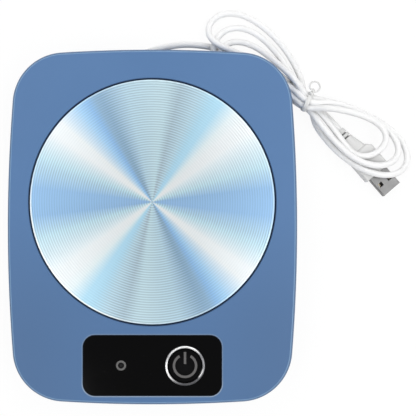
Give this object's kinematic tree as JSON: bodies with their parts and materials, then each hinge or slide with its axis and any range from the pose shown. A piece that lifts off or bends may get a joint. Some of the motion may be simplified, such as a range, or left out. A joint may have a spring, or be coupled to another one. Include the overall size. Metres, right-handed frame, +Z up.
{
  "type": "electric mug warmer",
  "caption": "Flat electric mug warmer with a round aluminium heating plate, a black panel with an indicator and a push button, and a tied white USB cord.",
  "frame": {"origin": "on the table under the middle of the housing, the cord and its plug left out", "axes": "+Z up out of the heating plate, +Y to the rear where the cord leaves, +X to the user's right"},
  "size_m": [0.227, 0.2218, 0.0216],
  "materials": {
    "housing_blue": "satin moulded ABS, fine spark texture",
    "foot_rubber": "matt",
    "screw_steel": "zinc plated",
    "plate_aluminium": "fine concentric turning marks, clear anodised",
    "seal_silicone": "matt",
    "heater_foil": "polyimide film over etched foil",
    "pad_felt": "ceramic felt",
    "shield_steel": "pressed and plated",
    "part_black": "moulded",
    "part_white": "moulded",
    "fuse_metal": "bright",
    "panel_black": "high gloss",
    "print_grey": "inlaid and flush",
    "pipe_smoke": "smoked clear",
    "ring_chrome": "bright plated",
    "button_black": "high gloss",
    "board_green": "solder mask",
    "cord_white": "soft matt jacket",
    "tie_white": "plastic coated wire",
    "wire_red": "insulated",
    "shell_steel": "nickel plated",
    "contact_brass": "gold flash"
  },
  "bodies": {
    "housing": {"top_cover": "housing_blue", "base_cover": "housing_blue", "rubber_feet": "foot_rubber", "case_screws": "screw_steel", "heating_plate": "plate_aluminium", "plate_seal": "seal_silicone", "heater_film": "heater_foil", "insulation_pad": "pad_felt", "heat_shield": "shield_steel", "plate_nuts": "screw_steel", "plate_sensor": "part_black", "thermal_fuse": "fuse_metal", "fuse_clip": "shield_steel", "control_panel": "panel_black", "indicator_ring": "print_grey", "light_pipe": "pipe_smoke", "button_bezel": "ring_chrome", "switch_body": "part_black", "control_board": "board_green", "board_screws": "screw_steel", "controller_chip": "part_black", "power_transistor": "part_black", "filter_capacitor": "fuse_metal", "chip_resistors": "part_black", "board_connectors": "part_white", "indicator_led": "part_white", "cord_bush": "cord_white", "inner_cord": "cord_white", "cord_clamp": "part_white", "clamp_screws": "screw_steel", "supply_wires": "wire_red", "heater_wires": "wire_red", "sensor_wires": "wire_red", "cord_hank": "cord_white", "cord_lead": "cord_white", "cord_tail": "cord_white", "cord_tie": "tie_white", "usb_overmould": "cord_white", "usb_shell": "shell_steel", "usb_tongue": "part_white", "usb_contacts": "contact_brass"},
    "power_button": {"button_cap": "button_black", "button_icon": "print_grey", "switch_plunger": "part_white"}
  },
  "joints": [
    {"name": "power_button_press", "type": "slide", "parent": "housing", "child": "power_button", "axis": [0, 0, -1], "range_m": [0, 0.0008], "stiffness_N_per_m": 2500}
  ]
}
